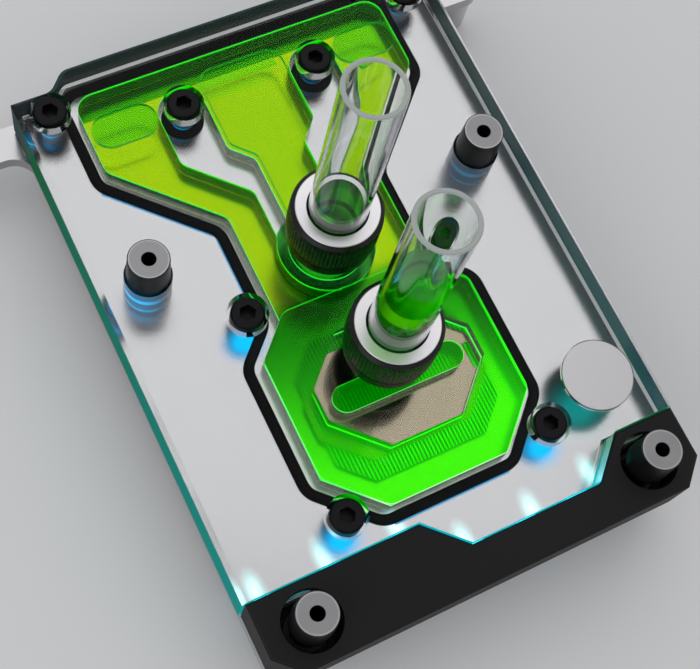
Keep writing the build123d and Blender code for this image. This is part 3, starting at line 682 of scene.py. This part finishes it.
def finish_piece(mesh, name, body, slots, node_names, smooth_angle=30.0, weighted=False):
    """Turn a bmesh into a piece that stands for its nodes and rides on its body."""
    data = bpy.data.meshes.new(name)
    mesh.to_mesh(data)
    mesh.free()
    if "custom_normal" in data.attributes:
        data.attributes.remove(data.attributes["custom_normal"])
    data.set_sharp_from_angle(angle=math.radians(smooth_angle))
    piece = bpy.data.objects.new(name, data)
    bpy.context.scene.collection.objects.link(piece)
    dress(piece, *slots)
    if weighted:
        shading = piece.modifiers.new("even_shading", "WEIGHTED_NORMAL")
        shading.keep_sharp = True
    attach(piece, body)
    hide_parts(*node_names)
    return piece


def widen(mesh, node_name, beyond, extra):
    """Move the outer wall of a round solid outward."""
    _, _, axis, _ = round_box(node_name)
    for vert in mesh.verts:
        arm = vert.co.xy - axis.xy
        if arm.length > beyond:
            arm.length += extra
            vert.co.xy = axis.xy + arm


def softened(node_name, width, segments=2):
    """A node's solid with its edges broken, so that they catch the light; a nut's head is made wider."""
    mesh = solid_copy(node_name)
    bmesh.ops.dissolve_limit(mesh, angle_limit=math.radians(1.0), verts=mesh.verts, edges=mesh.edges)
    sharp = [e for e in mesh.edges if len(e.link_faces) == 2 and e.calc_face_angle(0.0) > math.radians(35.0)]
    bmesh.ops.bevel(
        mesh, geom=sharp, offset=width, offset_type="OFFSET", affect="EDGES",
        segments=segments, profile=0.5, material=-1, clamp_overlap=True,
    )
    if node_name.startswith("mounting_nut"):
        widen(mesh, node_name, nut_neck_radius, nut_head_extra)
    for face in mesh.faces:
        face.smooth = True
    slots = [slot_of[node_name]]
    return finish_piece(mesh, "dressed_" + node_name, "root", slots, [node_name], weighted=True)


def near_solid(node_name):
    """The tree of a node's surface, to measure distances from."""
    other = bmesh.new()
    other.from_mesh(nodes[node_name].data)
    tree = BVHTree.FromBMesh(other)
    other.free()
    return tree


def wet_faces(mesh, liquid_names, touching=0.02 * MM):
    """The faces of a solid that touch the coolant."""
    trees = [near_solid(liquid) for liquid in liquid_names]
    found = set()
    for face in mesh.faces:
        middle = face.calc_center_median()
        if any(tree.find_nearest(middle)[3] < touching for tree in trees):
            found.add(face)
    return found


def hole_axes():
    """The axis and reach of every hole for a nut or a cap screw in the clear top."""
    found = []
    for node_name in nodes:
        if node_name.startswith("mounting_nut"):
            found.append((round_box(node_name)[2], nut_hole_reach))
        elif node_name.startswith("cap_screw"):
            found.append((round_box(node_name)[2], screw_hole_reach))
    return found


def paint_channel_wall(face, glow, pocket):
    """Mark the edges where the light gathers: a wall's upper edge, the middle boss's lower one."""
    foot = min(vert.co.z for vert in face.verts)
    head = max(vert.co.z for vert in face.verts)
    middle = face.calc_center_median()
    in_slot = abs(middle.x) < slot_half_x and abs(middle.y) < slot_half_y
    for loop in face.loops:
        rise = (loop.vert.co.z - foot) / max(head - foot, 0.01 * MM)
        # High steps: the pocket walls get the stronger painted glow, the others a painted highlight over
        # their whole face
        if foot > step_foot:
            loop[pocket] = float(head > pocket_head)
            loop[glow] = 1.0 - loop[pocket]
        else:
            loop[glow] = 1.1 - rise if foot > boss_foot and not in_slot else rise


def paint_hole_wall(face, glow, hole, fade_length=80.0 * MM):
    """Mark the side of a hole that faces the lights, more so on the left than on the right."""
    level = min(1.0, max(0.2, 0.85 - (hole.x + 0.7 * hole.y) / fade_length))
    for loop in face.loops:
        arm = (loop.vert.co.xy - hole.xy).normalized()
        loop[glow] = level * max(0.0, arm.dot(lit_side)) ** 2.0


def paint_front_wall(face, glow, chips, reach=5.0 * MM):
    """Mark a wall towards the light strip, most opposite the chips."""
    for loop in face.loops:
        nearest = min(abs(loop.vert.co.x - chip.x) for chip in chips)
        loop[glow] = min(1.0, max(0.0, 1.0 - nearest / reach))


def paint_outer_wall(face, glow, fade_length=30.0 * MM, patch_y=31.0 * MM, patch_half=7.0 * MM):
    """Mark the front end of an outer wall, and one patch on the left wall, for a painted glow."""
    for loop in face.loops:
        place = loop.vert.co
        on_left = place.x < 0.0
        near = (0.4 if on_left else 0.1) * (front_edge + fade_length - place.y) / fade_length
        patch = 1.0 - abs(place.y - patch_y) / patch_half if on_left else 0.0
        loop[glow] = min(1.0, max(0.0, near, 0.6 * patch))


def is_broken_edge(face):
    """Whether a face slopes like the broken edge round the top face."""
    return 0.3 < face.normal.z < 0.9


def square_front_edge(mesh, ease=0.9 * MM):
    """Carry the top face out to the front wall, where the cover meets it."""
    mesh.normal_update()
    walls = {}
    for face in mesh.faces:
        if is_broken_edge(face) and face.normal.y < -0.2 and face.calc_center_median().y < front_limit:
            for vert in face.verts:
                if vert.co.z > top_z - 0.05 * MM:
                    walls.setdefault(vert, []).append(face.normal.xy.normalized())
    for vert, normals in walls.items():
        move = np.linalg.lstsq(np.array(normals), np.full(len(normals), ease), rcond=0.2)[0]
        vert.co.x += move[0]
        vert.co.y += move[1]
    mesh.normal_update()


def make_clear_top():
    """The clear top, with its wetted, lit and outer faces told apart."""
    slots = ["clear_acrylic", "wet_acrylic", "channel_wall", "lit_hole", "outer_edge", "front_edge"]
    _, wet_slot, wall_slot, hole_slot, outer_slot, front_slot = range(len(slots))
    mesh = solid_copy("clear_top")
    wet = wet_faces(mesh, ["channel_coolant", "inlet_coolant"])
    glow = mesh.loops.layers.float.new("glow")
    pocket = mesh.loops.layers.float.new("pocket")
    holes = hole_axes()
    seal = near_solid("main_seal")
    low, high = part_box("clear_top")
    head_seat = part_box("cap_screw_1")[1].z - screw_head_depth
    chips = [vert.co for vert in nodes["light_chips"].data.vertices]
    square_front_edge(mesh)
    for face in mesh.faces:
        middle = face.calc_center_median()
        upright = abs(face.normal.z) < 0.3
        if face in wet:
            face.material_index = wall_slot if upright else wet_slot
            if upright:
                paint_channel_wall(face, glow, pocket)
            continue
        if not upright:
            if face.normal.z < -0.9 and middle.z < low.z + 0.1 * MM:
                face.material_index = wet_slot
            elif is_broken_edge(face) and middle.y > high.y - 9.0 * MM:
                face.material_index = outer_slot
            continue
        hole = next((axis for axis, reach in holes if (middle.xy - axis.xy).length < reach), None)
        if hole:
            in_counterbore = middle.z > head_seat and (middle.xy - hole.xy).length < screw_hole_reach
            if not in_counterbore:
                face.material_index = hole_slot
                paint_hole_wall(face, glow, hole)
            elif (middle.xy - hole.xy).dot(lit_side) > 0.0:
                face.material_index = wet_slot
        elif seal.find_nearest(middle)[3] < 0.6 * MM:
            # Faces by the seal take a painted glow, more where they face +Y
            face.material_index = hole_slot
            for loop in face.loops:
                loop[glow] = 0.6 * max(0.0, face.normal.y)
        elif face.normal.y < -0.3 and middle.y < front_limit:
            face.material_index = front_slot
            paint_front_wall(face, glow, chips)
        elif middle.x < low.x + 0.2 * MM or middle.x > high.x - 0.2 * MM or middle.y > high.y - 8.0 * MM:
            face.material_index = outer_slot
            paint_outer_wall(face, glow)
    shade_walls(mesh)
    return finish_piece(mesh, "machined_clear_top", "root", slots, ["clear_top"])


def step_inward(vert, depth):
    """The move that takes a corner inward by one depth from each face that meets there."""
    planes = []
    for face in vert.link_faces:
        if face.calc_area() > 1e-12 and all(face.normal.dot(other) < 0.999 for other in planes):
            planes.append(face.normal.copy())
    if not planes:
        return Vector()
    moves = np.linalg.lstsq(np.array(planes), np.full(len(planes), -depth), rcond=0.2)[0]
    move = Vector(moves)
    if move.length > 3.0 * depth:
        move.length = 3.0 * depth
    return move


def make_coolant(node_name, material_name):
    """Coolant that stands just off the walls round it."""
    mesh = solid_copy(node_name)
    mesh.normal_update()
    moves = [step_inward(vert, coolant_gap) for vert in mesh.verts]
    for vert, move in zip(mesh.verts, moves):
        vert.co += move
    shade_walls(mesh)
    return finish_piece(mesh, node_name + "_body", "root", [material_name], [node_name])


def lathe(outline, axis, segments):
    """A ring turned from a closed outline of radius and height points."""
    mesh = bmesh.new()
    points = [mesh.verts.new((axis.x + r, axis.y, z)) for r, z in outline]
    rim = [mesh.edges.new((points[k - 1], points[k])) for k in range(len(points))]
    bmesh.ops.spin(
        mesh, geom=points + rim, cent=(axis.x, axis.y, 0.0), axis=(0.0, 0.0, 1.0),
        dvec=(0.0, 0.0, 0.0), angle=math.tau, steps=segments, use_merge=True,
    )
    bmesh.ops.recalc_face_normals(mesh, faces=mesh.faces)
    for face in mesh.faces:
        face.smooth = True
    return mesh


def make_tube(end, segments=96):
    """A clear tube turned from its wall's outline, its rims a little eased."""
    low, high, axis, outer = round_box(end + "_tube")
    bore = outer - tube_wall
    ease = 0.25 * MM
    outline = [
        (bore, low.z), (outer, low.z), (outer, high.z - ease), (outer - ease, high.z), (bore + ease, high.z),
        (bore, high.z - ease),
    ]
    mesh = lathe(outline, axis, segments)
    for face in mesh.faces:
        if face.calc_center_median().z > high.z - 1.2 * ease:
            face.material_index = 1
    slots = ["clear_tube", "tube_cut"]
    return finish_piece(mesh, end + "_clear_tube", "root", slots, [end + "_tube"], weighted=True)


def make_collar(end, ridges=72, ridge_depth=0.22 * MM):
    """A locking collar with fine knurling between its skirt and its bevelled rim."""
    low, high, axis, outer = round_box(end + "_locking_collar")
    ring_low, _, _, ring_outer = round_box(end + "_bright_ring")
    skirt = outer - 0.5 * MM
    neck = outer - 0.15 * MM
    bore = outer - 1.85 * MM
    mouth = ring_outer + 0.05 * MM
    knurl_low = low.z + 1.6 * MM
    knurl_high = high.z - 1.7 * MM
    outline = [
        (bore, low.z), (skirt - 0.1 * MM, low.z), (skirt, low.z + 0.1 * MM), (skirt, low.z + 1.1 * MM),
        (neck, low.z + 1.3 * MM), (outer, knurl_low), (outer, knurl_high), (neck, knurl_high + 0.2 * MM),
        (neck, high.z - 0.65 * MM), (outer - 0.75 * MM, high.z - 0.05 * MM), (outer - 0.85 * MM, high.z),
        (mouth, high.z), (mouth, ring_low.z), (bore, ring_low.z),
    ]
    flanks = 2 * ridges
    root = outer - ridge_depth
    mesh = lathe(outline, axis, flanks)
    for vert in mesh.verts:
        arm = vert.co.xy - axis.xy
        if arm.length > outer - 0.01 * MM and round(math.atan2(arm.y, arm.x) / math.tau * flanks) % 2:
            arm.length = root
            vert.co.xy = axis.xy + arm
    # One flank of each knurl ridge takes the greener collar_black finish: painted light that picks out the
    # ridges
    for face in mesh.faces:
        middle = face.calc_center_median()
        arm = middle.xy - axis.xy
        knurled = arm.length > root and knurl_low < middle.z < knurl_high
        if knurled and math.floor(math.atan2(arm.y, arm.x) / math.tau * flanks) % 2:
            face.material_index = 1
    slots = ["black_metal", "collar_black"]
    return finish_piece(mesh, end + "_knurled_collar", "root", slots, [end + "_locking_collar"])


def make_bright_ring(end, segments=96):
    """The bright ring round the tube, its bore dark as painted shade inside the ring."""
    low, high, axis, outer = round_box(end + "_bright_ring")
    bore = round_box(end + "_tube")[3] + 0.05 * MM
    ease = 0.12 * MM
    outline = [
        (bore, low.z), (outer, low.z), (outer, high.z - ease), (outer - ease, high.z),
        (bore + 2.0 * ease, high.z), (bore, high.z - 2.0 * ease),
    ]
    mesh = lathe(outline, axis, segments)
    for face in mesh.faces:
        middle = face.calc_center_median()
        if (middle.xy - axis.xy).length < bore + 2.0 * ease:
            face.material_index = 1
    # The bore takes the dark rubber finish as painted shade
    slots = ["silver_ring", "seal_rubber"]
    return finish_piece(mesh, end + "_turned_ring", "root", slots, [end + "_bright_ring"], weighted=True)


make_clear_top()
for end in ("outlet", "inlet"):
    make_tube(end)
    make_collar(end)
    make_bright_ring(end)
for liquid_name, finish in (
    ("channel_coolant", "coolant"), ("inlet_coolant", "coolant"),
    ("outlet_tube_coolant", "tube_coolant"), ("inlet_tube_coolant", "tube_coolant"),
):
    make_coolant(liquid_name, finish)
softened("light_cover", 0.25 * MM)
softened("round_badge", 0.2 * MM)
for node_name in sorted(nodes):
    if node_name.startswith(("cap_screw", "mounting_nut")) or node_name.endswith("fitting_body"):
        softened(node_name, 0.12 * MM)


# Floor, light and camera
def make_floor():
    """A pale floor under the block."""
    mesh = bmesh.new()
    bmesh.ops.create_grid(mesh, x_segments=1, y_segments=1, size=1.6)
    data = bpy.data.meshes.new("floor")
    mesh.to_mesh(data)
    mesh.free()
    floor = bpy.data.objects.new("floor", data)
    bpy.context.scene.collection.objects.link(floor)
    material, _, shader = new_material("pale_floor")
    shader.inputs["Base Color"].default_value = (0.78, 0.79, 0.8, 1.0)
    shader.inputs["Roughness"].default_value = 0.8
    data.materials.append(material)


def make_world(even_light=0.50, seen_extra=0.20):
    """An even pale surround, brighter where the camera, gloss or clear parts see it."""
    world = bpy.data.worlds.new("studio")
    bpy.context.scene.world = world
    world.use_nodes = True
    tree = world.node_tree
    background = tree.nodes["Background"]
    background.inputs["Color"].default_value = (1.0, 0.99, 1.0, 1.0)
    paths = tree.nodes.new("ShaderNodeLightPath")
    seen = math_node(tree, "MAXIMUM", paths.outputs["Is Camera Ray"], paths.outputs["Is Glossy Ray"])
    seen = math_node(tree, "MAXIMUM", seen, paths.outputs["Is Transmission Ray"])
    strength = math_node(tree, "MULTIPLY_ADD", seen, seen_extra, even_light)
    tree.links.new(strength, background.inputs["Strength"])


def soft_lamp(name, place, target, size, power):
    """A square soft lamp that points at a target."""
    lamp = bpy.data.lights.new(name, "AREA")
    lamp.shape = "SQUARE"
    lamp.size = size
    lamp.energy = power
    holder = bpy.data.objects.new(name, lamp)
    bpy.context.scene.collection.objects.link(holder)
    turn = (Vector(target) - Vector(place)).to_track_quat("-Z", "Y")
    holder.matrix_world = Matrix.Translation(place) @ turn.to_matrix().to_4x4()


def make_camera():
    """The camera, set from numbers solved from the four nuts and the straight edges of the block."""
    data = bpy.data.cameras.new("photo_camera")
    data.sensor_width = sensor_width
    data.lens = focal_pixels / image_width * sensor_width
    data.shift_x = (image_width / 2 - centre_pixel[0]) / image_width
    data.shift_y = (centre_pixel[1] - image_height / 2) / image_width
    data.clip_start = 0.01
    back = -camera_forward.normalized()
    right = (-camera_down).cross(back).normalized()
    up = back.cross(right)
    camera = bpy.data.objects.new("photo_camera", data)
    bpy.context.scene.collection.objects.link(camera)
    turn = Matrix((right, up, back)).transposed().to_4x4()
    camera.matrix_world = Matrix.Translation(camera_place) @ turn
    bpy.context.scene.camera = camera


make_floor()
make_world()
middle = Vector((0.0, 20.0, 20.0)) * MM
soft_lamp("overhead", (0.25, 0.45, 0.9), middle, size=0.9, power=2.0)
soft_lamp("side", (-0.7, -0.2, 0.5), middle, size=0.6, power=1.2)
make_camera()
bpy.context.scene.view_settings.view_transform = "Standard"
